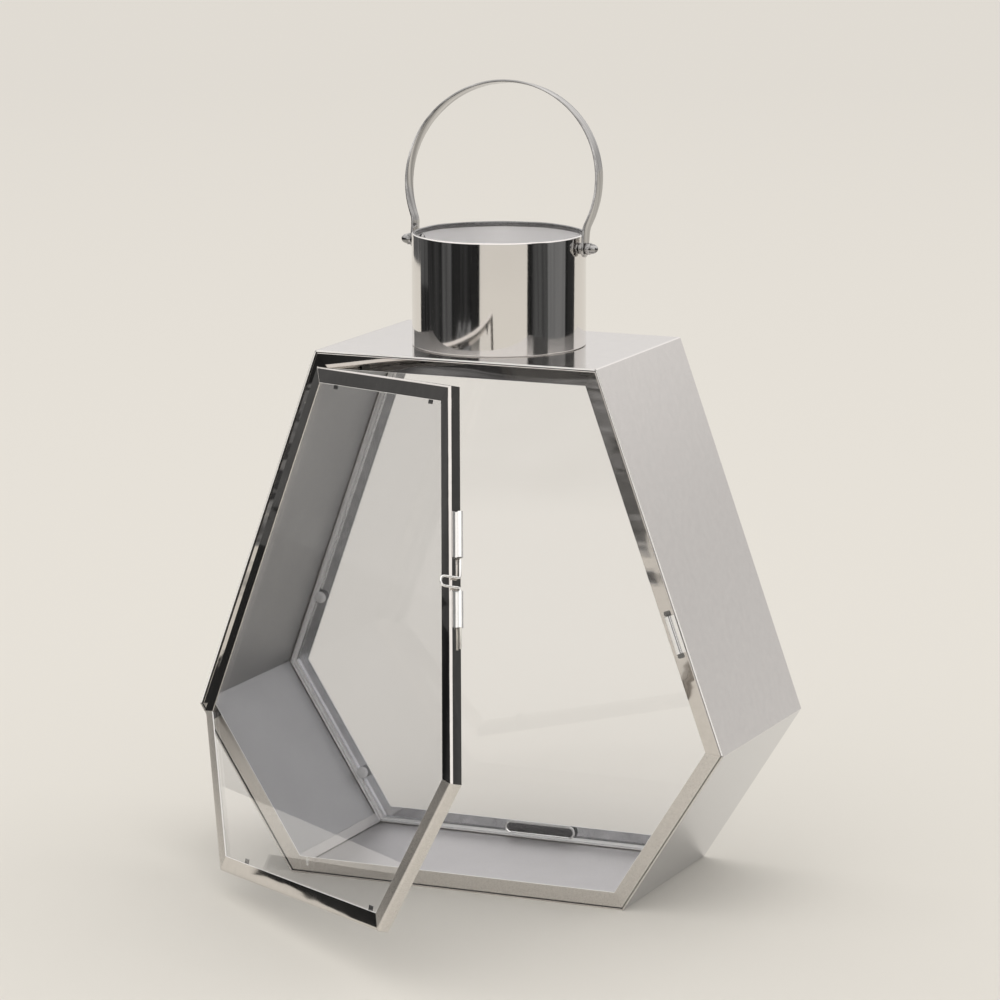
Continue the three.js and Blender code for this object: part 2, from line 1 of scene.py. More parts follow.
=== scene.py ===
import json
import math
import bmesh
import bpy
import numpy as np
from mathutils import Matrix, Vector


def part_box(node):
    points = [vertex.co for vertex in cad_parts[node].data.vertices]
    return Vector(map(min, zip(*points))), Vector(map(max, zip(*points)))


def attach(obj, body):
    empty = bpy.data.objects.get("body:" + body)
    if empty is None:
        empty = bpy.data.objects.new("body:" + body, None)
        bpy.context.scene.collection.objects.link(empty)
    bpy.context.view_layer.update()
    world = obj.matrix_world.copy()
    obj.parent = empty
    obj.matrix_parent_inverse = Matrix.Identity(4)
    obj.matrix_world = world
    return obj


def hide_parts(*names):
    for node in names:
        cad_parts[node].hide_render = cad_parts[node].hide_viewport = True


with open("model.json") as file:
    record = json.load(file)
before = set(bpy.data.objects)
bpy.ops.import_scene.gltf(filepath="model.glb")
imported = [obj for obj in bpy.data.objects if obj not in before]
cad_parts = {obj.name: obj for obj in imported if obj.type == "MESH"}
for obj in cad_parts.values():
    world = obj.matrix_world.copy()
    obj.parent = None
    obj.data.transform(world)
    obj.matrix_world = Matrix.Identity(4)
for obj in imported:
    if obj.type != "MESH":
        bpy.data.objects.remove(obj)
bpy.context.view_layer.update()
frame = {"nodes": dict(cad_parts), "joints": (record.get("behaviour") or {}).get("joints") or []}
mm = 0.001

# camera
cameraSet = dict(azimuth=23.75, elevation=10.88, roll=-0.11, distance=2.925, lens=165.6,
                 target=(0.0004, 0.0, 0.2394), sensor=36, reach=60)


def makeCamera(s):
    a, e = math.radians(s["azimuth"]), math.radians(s["elevation"])
    away = Vector((math.sin(a) * math.cos(e), -math.cos(a) * math.cos(e), math.sin(e)))
    target = Vector(s["target"])
    data = bpy.data.cameras.new("camera")
    data.lens = s["lens"]
    data.sensor_width = s["sensor"]
    data.clip_end = s["reach"]
    cam = bpy.data.objects.new("camera", data)
    cam.location = target + away * s["distance"]
    look = (-away).to_track_quat("-Z", "Y").to_euler()
    cam.rotation_euler = look
    cam.rotation_euler.rotate_axis("Z", math.radians(s["roll"]))
    bpy.context.scene.collection.objects.link(cam)
    bpy.context.scene.camera = cam


# mesh helpers
def quadsOf(rows, columns, closeRows=False, closeColumns=False):
    # index of each quad's corners on a grid of rows by columns
    r = np.arange(rows if closeRows else rows - 1)
    c = np.arange(columns if closeColumns else columns - 1)
    r, c = np.meshgrid(r, c, indexing="ij")
    r2, c2 = (r + 1) % rows, (c + 1) % columns
    quads = np.stack([r * columns + c, r2 * columns + c, r2 * columns + c2, r * columns + c2], axis=-1)
    return quads.reshape(-1, 4)


def meshObject(name, points, faces, finish=None):
    # finish is one material, a list of them or nothing
    mesh = bpy.data.meshes.new(name)
    mesh.from_pydata(np.asarray(points).reshape(-1, 3).tolist(), [], [list(map(int, f)) for f in faces])
    mesh.update()
    obj = bpy.data.objects.new(name, mesh)
    bpy.context.scene.collection.objects.link(obj)
    for one in (finish if isinstance(finish, (list, tuple)) else [finish]):
        if one is not None:
            mesh.materials.append(one)
    return obj


def gridObject(name, grid, finish=None, closeRows=False, closeColumns=False):
    rows, columns = grid.shape[:2]
    return meshObject(name, grid, quadsOf(rows, columns, closeRows, closeColumns), finish)


# node helpers
# most of a noise lies between these two
noiseMiddle = (0.3, 0.7)
# detail and roughness of each kind of noise
noiseKinds = dict(grain=(4.0, 0.6), patch=(5.0, 0.65), wave=(1.5, 0.4), haze=(2.0, 0.5), fold=(2.0, 0.5))


def newMaterial(name):
    mat = bpy.data.materials.new(name)
    mat.use_nodes = True
    nodes = mat.node_tree.nodes
    return mat, nodes, mat.node_tree.links, nodes["Principled BSDF"]


def objectNoise(nodes, links, stretch, scale, detail=3.0, rough=0.5, turn=0.0):
    # noise on the object's own coordinates, stretched along some axes
    where = nodes.new("ShaderNodeTexCoord")
    mapping = nodes.new("ShaderNodeMapping")
    mapping.inputs["Scale"].default_value = stretch
    mapping.inputs["Rotation"].default_value = (math.radians(turn), 0, 0)
    noise = nodes.new("ShaderNodeTexNoise")
    noise.inputs["Scale"].default_value = scale
    noise.inputs["Detail"].default_value = detail
    noise.inputs["Roughness"].default_value = rough
    links.new(where.outputs["Object"], mapping.inputs["Vector"])
    links.new(mapping.outputs["Vector"], noise.inputs["Vector"])
    return noise


def remap(nodes, links, source, low, high):
    # the middle of a noise stretched to run from low to high
    ramp = nodes.new("ShaderNodeMapRange")
    for key, value in zip(("From Min", "From Max", "To Min", "To Max"), noiseMiddle + (low, high)):
        ramp.inputs[key].default_value = value
    links.new(source, ramp.inputs["Value"])
    return ramp.outputs["Result"]


def bumpFrom(nodes, links, shader, source, strength, distance):
    bump = nodes.new("ShaderNodeBump")
    bump.inputs["Strength"].default_value = strength
    bump.inputs["Distance"].default_value = distance
    links.new(source, bump.inputs["Height"])
    links.new(bump.outputs["Normal"], shader.inputs["Normal"])


# finishes
def steelFinish(name, color, low, high, grain, waviness, waveScale=9.0, stretch=(1, 1, 1), tone=0.92,
                metal=1.0, patch=24.0, streak=(1, 1, 1), turn=0.0):
    # sheet steel: long soft waves bend the reflections, fine grain between low and high breaks the gloss,
    # and patches shift the tone
    mat, nodes, links, shader = newMaterial(name)
    shader.inputs["Metallic"].default_value = metal
    fine = objectNoise(nodes, links, (1, 1, 1), grain, *noiseKinds["grain"])
    links.new(remap(nodes, links, fine.outputs["Fac"], low, high), shader.inputs["Roughness"])
    patches = objectNoise(nodes, links, streak, patch, *noiseKinds["patch"], turn)
    mix = nodes.new("ShaderNodeMix")
    mix.data_type = "RGBA"
    mix.inputs["A"].default_value = (*(c * tone for c in color), 1)
    mix.inputs["B"].default_value = (*color, 1)
    links.new(remap(nodes, links, patches.outputs["Fac"], 0.0, 1.0), mix.inputs["Factor"])
    links.new(mix.outputs["Result"], shader.inputs["Base Color"])
    if waviness:
        waves = objectNoise(nodes, links, stretch, waveScale, *noiseKinds["wave"])
        bumpFrom(nodes, links, shader, waves.outputs["Fac"], 1.0, waviness)
    return mat


glassSet = dict(color=(0.962, 0.964, 0.976), passed=(0.93, 0.94, 0.93), ior=1.48)
# the stops and bead are white with little light passing through: painted light that keeps the clear plastic
# bright in the hood's shade
softStopSet = dict(color=(1.0, 1.0, 1.0), ior=1.42, clear=0.05, haze=400.0, low=0.14, high=0.24)


def glassFinish(s):
    mat, nodes, links, shader = newMaterial("clearGlass")
    shader.inputs["Base Color"].default_value = (*s["color"], 1)
    shader.inputs["Roughness"].default_value = 0.0
    shader.inputs["IOR"].default_value = s["ior"]
    shader.inputs["Transmission Weight"].default_value = 1.0
    # lamplight passes straight through, so what stands behind the pane is lit
    path = nodes.new("ShaderNodeLightPath")
    clear = nodes.new("ShaderNodeBsdfTransparent")
    clear.inputs["Color"].default_value = (*s["passed"], 1)
    either = nodes.new("ShaderNodeMixShader")
    links.new(path.outputs["Is Shadow Ray"], either.inputs["Fac"])
    links.new(shader.outputs[0], either.inputs[1])
    links.new(clear.outputs[0], either.inputs[2])
    links.new(either.outputs[0], nodes["Material Output"].inputs["Surface"])
    return mat


def softStopFinish(s):
    mat, nodes, links, shader = newMaterial("clearStop")
    shader.inputs["Base Color"].default_value = (*s["color"], 1)
    shader.inputs["IOR"].default_value = s["ior"]
    shader.inputs["Transmission Weight"].default_value = s["clear"]
    haze = objectNoise(nodes, links, (1, 1, 1), s["haze"], *noiseKinds["haze"])
    links.new(remap(nodes, links, haze.outputs["Fac"], s["low"], s["high"]), shader.inputs["Roughness"])
    return mat


# name: settings; low and high are the roughness between which the grain runs
steels = dict(
    mirror=dict(color=(0.80, 0.78, 0.76), low=0.05, high=0.10, grain=900, waviness=0.00012, tone=0.97),
    wall=dict(color=(0.80, 0.775, 0.755), low=0.10, high=0.18, grain=1300, waviness=0.0001, tone=0.955,
              patch=190.0),
    lowerWall=dict(color=(0.715, 0.72, 0.74), low=0.12, high=0.2, grain=1300, waviness=0.0001, tone=0.955,
                   patch=190.0),
    strip=dict(color=(0.72, 0.69, 0.66), low=0.03, high=0.07, grain=1800, waviness=0.0006, waveScale=55.0,
               stretch=(0.2, 0.2, 1), patch=160.0),
    satinStrip=dict(color=(0.80, 0.77, 0.735), low=0.24, high=0.36, grain=2200, waviness=0.0003,
                    waveScale=30.0, patch=700.0, tone=0.86),
    # bright: near white with a share that is not metal, a painted highlight so the latch barrels, wire,
    # clip rim and pin show white
    bright=dict(color=(0.97, 0.965, 0.955), low=0.07, high=0.14, grain=1500, waviness=0.0, metal=0.8,
                tone=0.97),
    # edge: white and not metal, a painted highlight that shows the cut edges as thin bright lines
    edge=dict(color=(1.0, 0.99, 0.975), low=0.16, high=0.28, grain=1500, waviness=0.0, metal=0.0,
              tone=0.98),
    # hem: a dark grey of painted shade, for the chimney hem's inner side, the rear clip's sunk middle and
    # the keeper slot's ends
    hem=dict(color=(0.24, 0.24, 0.24), low=0.2, high=0.3, grain=1500, waviness=0.0001),
    nut=dict(color=(0.55, 0.545, 0.54), low=0.06, high=0.12, grain=1500, waviness=0.0002, tone=0.12,
             patch=420.0),
    bail=dict(color=(0.74, 0.73, 0.72), low=0.10, high=0.2, grain=1500, waviness=0.0001, tone=0.2,
              patch=330.0, streak=(0.02, 1, 0.02), turn=10.0),
    lip=dict(color=(0.50, 0.49, 0.48), low=0.26, high=0.38, grain=1500, waviness=0.0001),
    # rearStrip: steel lifted to white, painted light for the rear strips' inner sides where the hood shades
    # them
    rearStrip=dict(color=(1.0, 1.0, 1.0), low=0.12, high=0.22, grain=1500, waviness=0.0003, metal=0.85,
                   tone=0.78, patch=110.0),
    dark=dict(color=(0.10, 0.098, 0.096), low=0.3, high=0.45, grain=1500, waviness=0.0, metal=0.2),
    hoodInside=dict(color=(0.44, 0.442, 0.448), low=0.4, high=0.55, grain=1200, waviness=0.0001, tone=0.88,
                    patch=12.0),
    lowerInside=dict(color=(0.52, 0.52, 0.525), low=0.42, high=0.56, grain=1200, waviness=0.0001, tone=0.9,
                     patch=12.0),
    base=dict(color=(0.56, 0.55, 0.555), low=0.34, high=0.5, grain=1200, waviness=0.0001, patch=12.0),
    # chimneyInside: near white and partly not metal, painted light that lifts the shaded inside of the tube
    chimneyInside=dict(color=(0.96, 0.955, 0.96), low=0.36, high=0.5, grain=1200, waviness=0.0001,
                       tone=0.97, metal=0.7),
)


def makeFinishes():
    made = {name: steelFinish(name + "Steel", **settings) for name, settings in steels.items()}
    made["glass"] = glassFinish(glassSet)
    made["stop"] = softStopFinish(softStopSet)
    print("finishes ready")
    return made


# stage
stageSet = dict(floorSize=60, nearColor=(0.68, 0.662, 0.615),
                farColor=(0.63, 0.614, 0.575), near=0.3, far=5.0, rough=0.9)


def makeFloor(s):
    half = s["floorSize"] / 2
    mesh = bpy.data.meshes.new("floor")
    corners = [(-half, -half, 0), (half, -half, 0), (half, half, 0), (-half, half, 0)]
    mesh.from_pydata(corners, [], [(0, 1, 2, 3)])
    floor = bpy.data.objects.new("floor", mesh)
    mat, nodes, links, shader = newMaterial("floorPaper")
    # the paper is a shade darker far off, where more of the room lights it
    where = nodes.new("ShaderNodeTexCoord")
    reach = nodes.new("ShaderNodeVectorMath")
    reach.operation = "LENGTH"
    share = nodes.new("ShaderNodeMapRange")
    share.inputs["From Min"].default_value = s["near"]
    share.inputs["From Max"].default_value = s["far"]
    mix = nodes.new("ShaderNodeMix")
    mix.data_type = "RGBA"
    mix.inputs["A"].default_value = (*s["nearColor"], 1)
    mix.inputs["B"].default_value = (*s["farColor"], 1)
    links.new(where.outputs["Object"], reach.inputs[0])
    links.new(reach.outputs["Value"], share.inputs["Value"])
    links.new(share.outputs["Result"], mix.inputs["Factor"])
    links.new(mix.outputs["Result"], shader.inputs["Base Color"])
    shader.inputs["Roughness"].default_value = s["rough"]
    shader.inputs["Specular IOR Level"].default_value = 0.0
    mesh.materials.append(mat)
    bpy.context.scene.collection.objects.link(floor)


# the room: grey near the horizon and bright overhead, the same all round
roomSet = dict(strength=1.0, low=-0.02, high=0.55, tint=(1.0, 0.975, 0.955),
               steps=[(0.0, 0.70), (0.2, 0.62), (0.4, 0.94), (1.0, 1.24)])


def makeRoom(s):
    world = bpy.data.worlds.new("room")
    bpy.context.scene.world = world
    world.use_nodes = True
    nodes, links = world.node_tree.nodes, world.node_tree.links
    where = nodes.new("ShaderNodeTexCoord")
    split = nodes.new("ShaderNodeSeparateXYZ")
    height = nodes.new("ShaderNodeMapRange")
    height.inputs["From Min"].default_value = s["low"]
    height.inputs["From Max"].default_value = s["high"]
    ramp = nodes.new("ShaderNodeValToRGB")
    for _ in s["steps"][2:]:
        ramp.color_ramp.elements.new(0.5)
    for element, (place, value) in zip(ramp.color_ramp.elements, s["steps"]):
        element.position = place
        element.color = (*(value * t for t in s["tint"]), 1)
    links.new(where.outputs["Generated"], split.inputs[0])
    links.new(split.outputs["Z"], height.inputs["Value"])
    links.new(height.outputs["Result"], ramp.inputs["Fac"])
    links.new(ramp.outputs["Color"], nodes["Background"].inputs["Color"])
    nodes["Background"].inputs["Strength"].default_value = s["strength"]
    print("room ready")


# cards that only reflections show: start and end are headings in degrees from -Y towards +X,
# value and streak the brightness, distance, low and high the place, and fold the pattern's stretch
cards = [
    dict(name="lowDark", start=-77, end=-42, distance=0.43, high=(0.016, 0.08), value=0.01, streak=0.04),
    dict(name="doorGrey", start=-101, end=-80, distance=1.18, low=0.22, value=0.06, streak=0.12),
    dict(name="farLeft", start=-127, end=-101, low=0.25, value=0.05, streak=0.18),
    dict(name="darkLeft", start=-101, end=-55, value=0.012, streak=0.05),
    dict(name="greyLeft", start=-55, end=-41, value=0.06, streak=0.12),
    dict(name="darkFront", start=-41, end=-2, value=0.01, streak=0.04, fade=0.1),
    dict(name="swirlFront", start=-34, end=-13, distance=1.06, high=0.17, value=0.0, streak=0.27,
         fold=(7, 7, 13), fade=0.03),
    dict(name="darkRight", start=60, end=69, value=0.012, streak=0.03),
    dict(name="greyRight", start=69, end=91, high=1.15, value=0.05, streak=0.1),
    dict(name="midRight", start=91, end=119, value=0.15, streak=0.2),
    dict(name="darkBack", start=119, end=139, value=0.012, streak=0.04),
]
cardUsual = dict(distance=1.2, low=0.0, high=0.62, fold=(6, 6, 0.6), foldScale=2.2, fade=0.0,
                 fadeFrom=-0.001, steps=24)


def makeCard(s):
    # an upright arc: each point is at the card's distance, turned by its heading
    heading = np.radians(np.linspace(s["start"], s["end"], s["steps"]))
    high = s["high"] if isinstance(s["high"], tuple) else (s["high"], s["high"])
    z = np.stack([np.full(s["steps"], s["low"]), np.linspace(*high, s["steps"])], axis=1)
    h = np.repeat(heading[:, None], 2, axis=1)
    points = np.stack([s["distance"] * np.sin(h), -s["distance"] * np.cos(h), z], axis=-1)
    card = gridObject(s["name"], points)
    mat = bpy.data.materials.new(s["name"])
    mat.use_nodes = True
    nodes, links = mat.node_tree.nodes, mat.node_tree.links
    nodes.clear()
    glow = nodes.new("ShaderNodeEmission")
    result = nodes.new("ShaderNodeOutputMaterial")
    fold = objectNoise(nodes, links, s["fold"], s["foldScale"], *noiseKinds["fold"])
    links.new(remap(nodes, links, fold.outputs["Fac"], s["value"], s["streak"]), glow.inputs["Strength"])
    # seen only after a glossy bounce, so glass in front of a strip keeps it and a clear view doesn't
    path = nodes.new("ShaderNodeLightPath")
    bounced = nodes.new("ShaderNodeMath")
    bounced.operation = "GREATER_THAN"
    bounced.inputs[1].default_value = 0.5
    clear = nodes.new("ShaderNodeBsdfTransparent")
    either = nodes.new("ShaderNodeMixShader")
    # a card with a fade starts clear at the floor and is solid from that height up
    where = nodes.new("ShaderNodeTexCoord")
    split = nodes.new("ShaderNodeSeparateXYZ")
    solid = nodes.new("ShaderNodeMapRange")
    solid.inputs["From Min"].default_value = s["fadeFrom"]
    solid.inputs["From Max"].default_value = s["fade"]
    both = nodes.new("ShaderNodeMath")
    both.operation = "MULTIPLY"
    links.new(where.outputs["Object"], split.inputs[0])
    links.new(split.outputs["Z"], solid.inputs["Value"])
    links.new(path.outputs["Glossy Depth"], bounced.inputs[0])
    links.new(bounced.outputs[0], both.inputs[0])
    links.new(solid.outputs["Result"], both.inputs[1])
    links.new(both.outputs[0], either.inputs["Fac"])
    links.new(clear.outputs[0], either.inputs[1])
    links.new(glow.outputs[0], either.inputs[2])
    links.new(either.outputs[0], result.inputs["Surface"])
    card.data.materials.append(mat)
    for ray in ("visible_camera", "visible_diffuse", "visible_shadow"):
        setattr(card, ray, False)


makeCamera(cameraSet)
makeFloor(stageSet)
makeRoom(roomSet)
for card in cards:
    makeCard({**cardUsual, **card})
bpy.context.scene.view_settings.view_transform = "Standard"
finishes = makeFinishes()


# places taken from the frame
sideNames = ["top", "upper_right", "lower_right", "bottom", "lower_left", "upper_left"]
joints = {joint["name"]: joint for joint in frame["joints"]}


def nodePoints(name):
    mesh = frame["nodes"][name].data
    flat = np.empty(len(mesh.vertices) * 3)
    mesh.vertices.foreach_get("co", flat)
    return flat.reshape(-1, 3)


def turnDoor(points, degrees):
    # Rodrigues' turn about the hinge: along the axis stays, across it swings
    axis, pivot = np.array(joints["door_hinge"]["axis"]), np.array(joints["door_hinge"]["pos_m"])
    angle = math.radians(degrees)
    arm = points - pivot
    kept = axis * (arm @ axis)[..., None] * (1 - math.cos(angle))
    return pivot + arm * math.cos(angle) + np.cross(axis, arm) * math.sin(angle) + kept


def closeDoor(points):
    return turnDoor(points, joints["door_hinge"]["range_deg"][0])


def openDoor(points):
    return turnDoor(points, -joints["door_hinge"]["range_deg"][0])


def outerLine(points):
    # the two ends, seen from the front, that lie farthest apart
    flat = np.unique(np.round(points[:, [0, 2]], 6), axis=0)
    apart = np.linalg.norm(flat[:, None] - flat[None], axis=-1)
    a, b = np.unravel_index(apart.argmax(), apart.shape)
    return flat[a], flat[b]


def cornersOf(lines):
    # corner k is where side k - 1 crosses side k
    found = []
    for k in range(len(lines)):
        (a, b), (c, d) = lines[k - 1], lines[k]
        u, v = b - a, d - c
        run = ((c - a)[0] * v[1] - (c - a)[1] * v[0]) / (u[0] * v[1] - u[1] * v[0])
        found.append(a + u * run)
    return np.array(found)


sheetNames = ["top_plate", "upper_wall_right", "lower_wall_right", "base_pan", "lower_wall_left",
              "upper_wall_left"]


def sheetLine(name):
    points = nodePoints(name)
    if name == "base_pan":
        points = points[points[:, 2] < 0.5 * mm]
    return outerLine(points)


bodyCorners = cornersOf([sheetLine(name) for name in sheetNames])
doorCorners = cornersOf([outerLine(closeDoor(nodePoints("door_frame_" + name))) for name in sideNames])
bodyFront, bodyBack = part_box("top_plate")[0][1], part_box("top_plate")[1][1]


def sideAxes(corners, k):
    start, end = corners[k], corners[(k + 1) % len(corners)]
    along = (end - start) / np.linalg.norm(end - start)
    return start, along, np.array([along[1], -along[0]]), np.linalg.norm(end - start)


def onSide(corners, k, inboard, y, along):
    # from a side's own measures (inwards, back, along) to the frame
    start, run, inward, _ = sideAxes(corners, k)
    x = start[0] + inboard * inward[0] + along * run[0]
    z = start[1] + inboard * inward[1] + along * run[1]
    return np.stack(np.broadcast_arrays(x, y, z), axis=-1)


def sideMeasures(points, corners, k):
    # the other way: from the frame to a side's own measures, as columns
    start, run, inward, _ = sideAxes(corners, k)
    flat = points[:, [0, 2]] - start
    return np.stack([flat @ inward, points[:, 1], flat @ run], axis=-1)


def mitreSlope(corners, c):
    # how far a mitred end runs along its side for each step inwards
    back, ahead = corners[c - 1] - corners[c], corners[(c + 1) % len(corners)] - corners[c]
    half = math.acos(back @ ahead / np.linalg.norm(back) / np.linalg.norm(ahead)) / 2
    return 1 / math.tan(half)


# sections
def softSection(corners, radii, steps=5):
    # a closed outline whose corners are short quadratic curves: (1-t)^2 a + 2t(1-t) p + t^2 b
    p = np.asarray(corners, dtype=float)
    r = np.asarray(radii, dtype=float)[:, None]
    back, ahead = np.roll(p, 1, axis=0) - p, np.roll(p, -1, axis=0) - p
    a = p + back / np.linalg.norm(back, axis=1, keepdims=True) * r
    b = p + ahead / np.linalg.norm(ahead, axis=1, keepdims=True) * r
    t = np.linspace(0, 1, steps)[None, :, None]
    curve = (1 - t) ** 2 * a[:, None] + 2 * t * (1 - t) * p[:, None] + t ** 2 * b[:, None]
    return curve.reshape(-1, 2)


def cappedTube(name, grid, finish, smooth=40):
    # rings joined into a tube, with its first and last ring closed
    rows, columns = grid.shape[:2]
    faces = quadsOf(rows, columns, closeColumns=True).tolist()
    faces += [list(range(columns)), list(range((rows - 1) * columns, rows * columns))]
    obj = turnOut(meshObject(name, grid, faces, finish))
    obj.data.shade_smooth()
    if smooth:
        obj.data.set_sharp_from_angle(angle=math.radians(smooth))
    return obj


def turnOut(obj, near=1e-7):
    # a mesh with its doubles merged and its faces turned alike, outwards where it is closed
    work = bmesh.new()
    work.from_mesh(obj.data)
    bmesh.ops.remove_doubles(work, verts=work.verts, dist=near)
    bmesh.ops.recalc_face_normals(work, faces=work.faces)
    work.to_mesh(obj.data)
    work.free()
    return obj


def barObject(name, ends, finish, smooth=35, cut=None, inner=None):
    # a section carried between its two ends: ends is (section points, 2, 3)
    # cut is three rows: the section has the edge finish, a painted highlight, from the first to the second,
    # and has the inner finish from there to the third
    count = ends.shape[0]
    faces = quadsOf(count, 2, closeRows=True).tolist()
    faces += [list(range(0, 2 * count, 2)), list(range(1, 2 * count, 2))]
    coats = [finish, finishes["edge"], inner or finish] if cut else finish
    obj = turnOut(meshObject(name, ends, faces, coats))
    if cut:
        index = np.zeros(len(obj.data.polygons), dtype=np.int32)
        index[cut[0]:cut[1]] = 1
        index[cut[1]:cut[2]] = 2
        obj.data.polygons.foreach_set("material_index", index)
    obj.data.shade_smooth()
    obj.data.set_sharp_from_angle(angle=math.radians(smooth))
    flat = obj.modifiers.new("flatFaces", "WEIGHTED_NORMAL")
    flat.weight = 100
    flat.keep_sharp = True
    return obj


def mitredBar(name, corners, k, section, gap, finish, door=False, cut=None, inner=None):
    inboard, y = section[:, 0], section[:, 1]
    length = sideAxes(corners, k)[3]
    low = inboard * mitreSlope(corners, k) + gap
    high = length - inboard * mitreSlope(corners, (k + 1) % len(corners)) - gap
    along = np.stack([low, high], axis=1)
    ends = onSide(corners, k, inboard[:, None], y[:, None], along)
    return barObject(name, openDoor(ends) if door else ends, finish, cut=cut, inner=inner)


def finished(obj, body, *nodes, slot="polished_steel"):
    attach(obj, body)
    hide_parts(*nodes)
    print("made", obj.name)
    return obj


# the sheets of the body
sheetSet = dict(thickness=1.0 * mm, fold=0.6 * mm, foldSteps=7, edge=0.12 * mm, across=13, hole=51 * mm,
                holeRings=4, near=1e-6, level=0.99, crease=40, edgeFrom=60)


def faceAway(obj, centre):
    # an open sheet round a middle point, turned so that its faces look away from it
    mesh = obj.data
    total = sum((face.center - Vector(centre)).dot(face.normal) for face in mesh.polygons)
    if total < 0:
        mesh.flip_normals()


def foldPath(points, radius, steps):
    # a line through the points with each inner corner a short quadratic curve, all alike or one radius each
    p = np.asarray(points, dtype=float)
    radii = np.broadcast_to(radius, len(p) - 2)
    path = [p[:1]]
    t = np.linspace(0, 1, steps)[:, None]
    for a, c, b, r in zip(p[:-2], p[1:-1], p[2:], radii):
        start = c + (a - c) / np.linalg.norm(a - c) * r
        end = c + (b - c) / np.linalg.norm(b - c) * r
        path.append((1 - t) ** 2 * start + 2 * t * (1 - t) * c + t ** 2 * end)
    path.append(p[-1:])
    return np.concatenate(path)


def sheetObject(name, parts, centre, s, inside, floor=None, rim="edge", outside="wall"):
    # several grids joined where they share points, then given thickness;
    # the first three coats are for the walls and the other three for a floor
    points, faces, count = [], [], 0
    for grid in parts:
        rows, columns = grid.shape[:2]
        points.append(grid.reshape(-1, 3))
        faces.append(quadsOf(rows, columns) + count)
        count += rows * columns
    obj = meshObject(name, np.concatenate(points), np.concatenate(faces), None)
    # rim is the edge finish by default, the painted highlight along the cut edges
    for one in (outside, inside, rim, outside, floor or inside, rim):
        obj.data.materials.append(finishes[one])
    faceAway(turnOut(obj, s["near"]), centre)
    if floor:
        for face in obj.data.polygons:
            face.material_index = 3 if face.normal.z < -s["level"] else 0
    obj.data.shade_smooth()
    obj.data.set_sharp_from_angle(angle=math.radians(s["crease"]))
    wall = obj.modifiers.new("wall", "SOLIDIFY")
    wall.thickness = s["thickness"]
    wall.offset = -1
    wall.use_even_offset = True
    wall.material_offset = 1
    wall.material_offset_rim = 2
    bevel = obj.modifiers.new("edge", "BEVEL")
    bevel.width = s["edge"]
    bevel.segments = 2
    bevel.limit_method = "ANGLE"
    bevel.angle_limit = math.radians(s["edgeFrom"])
    bevel.harden_normals = True
    return obj


def makeHood(s):
    # top plate: rays run from the round hole to the plate's outline, straight in between
    height = bodyCorners[0][1]
    flatHalf = bodyCorners[1][0] - 3 * s["fold"]
    y = np.linspace(bodyFront, bodyBack, s["across"])
    x = np.linspace(-flatHalf, flatHalf, s["across"] + 4)
    rim = np.concatenate([
        np.stack([np.full_like(y, flatHalf), y], 1)[:-1],
        np.stack([x[::-1], np.full_like(x, bodyBack)], 1)[:-1],
        np.stack([np.full_like(y, -flatHalf), y[::-1]], 1)[:-1],
        np.stack([x, np.full_like(x, bodyFront)], 1),
    ])
    ring = rim / np.linalg.norm(rim, axis=1, keepdims=True) * s["hole"]
    share = np.linspace(0, 1, s["holeRings"])[:, None, None]
    flat = ring * (1 - share) + rim * share
    top = np.concatenate([flat, np.full(flat.shape[:2] + (1,), height)], axis=-1)
    parts = [top]
    for hand, corner, shoulder in ((1, 1, 2), (-1, 0, 5)):
        bends = [(hand * flatHalf, height), bodyCorners[corner], bodyCorners[shoulder]]
        path = foldPath(bends, s["fold"], s["foldSteps"])
        grid = np.stack(np.broadcast_arrays(path[:, :1], y[None], path[:, 1:]), axis=-1)
        parts.append(grid)
    return sheetObject("hood", parts, (0, 0, height / 2), s, "hoodInside")


def makeLowerBody(s):
    # one sheet folded up from the base at both sides
    y = np.linspace(bodyFront, bodyBack, s["across"])
    path = foldPath(bodyCorners[[5, 4, 3, 2]], s["fold"], s["foldSteps"])
    grid = np.stack(np.broadcast_arrays(path[:, :1], y[None], path[:, 1:]), axis=-1)
    return sheetObject("lowerBody", [grid], (0, 0, bodyCorners[5][1]), s, "lowerInside", floor="base",
                       rim="satinStrip", outside="lowerWall")


# low and high are measured up the wall from the floor's corner
lipSet = dict(low=0.48 * mm, high=7.08 * mm, sheet=1.0 * mm, inset=1.3 * mm, setback=8.7 * mm,
              edges=[0.1 * mm, 0.4 * mm, 0.4 * mm, 0.1 * mm])


def makeBaseLips(s):
    # a folded lip along each side of the floor, inside the lower walls
    y0, y1 = bodyFront + s["setback"], bodyBack - s["setback"]
    for side, k, hand in (("right", 2, -1), ("left", 4, 1)):
        foot = sideAxes(bodyCorners, k)[3] if hand == -1 else 0.0
        low, high = foot + hand * s["low"], foot + hand * s["high"]
        inner, outer = s["inset"], s["inset"] + s["sheet"]
        section = softSection([(inner, low), (inner, high), (outer, high), (outer, low)], s["edges"])
        ends = onSide(bodyCorners, k, section[:, :1], np.array([[y0, y1]]), section[:, 1:])
        lip = barObject("baseLip_" + side, ends, finishes["lip"])
        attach(lip, "root")


# frame strips; cutRows are where a section's free edge starts and ends, then where its inner side ends,
# and satinFront and satinDoor are the sides with a duller face
stripSet = dict(sheet=0.8 * mm, bend=1.1 * mm, doorBend=1.9 * mm, edge=0.22 * mm, crease=0.3 * mm,
                gap=0.05 * mm, cutRows=(5, 14, 24), satinFront=(2, 3, 4), satinDoor=(2, 4))


def stripSection(outer, face, width, leg, s):
    # an angle: a face of the given width at y = face and a leg along the wall; leg and sheet carry a sign
    t = math.copysign(s["sheet"], leg)
    far, inner = outer + width, outer + s["sheet"]
    corners = [(outer, face), (far, face), (far, face + t), (inner, face + t), (inner, face + leg),
               (outer, face + leg)]
    return softSection(corners, [s["bend"], s["edge"], s["edge"], s["crease"], s["edge"], s["edge"]])


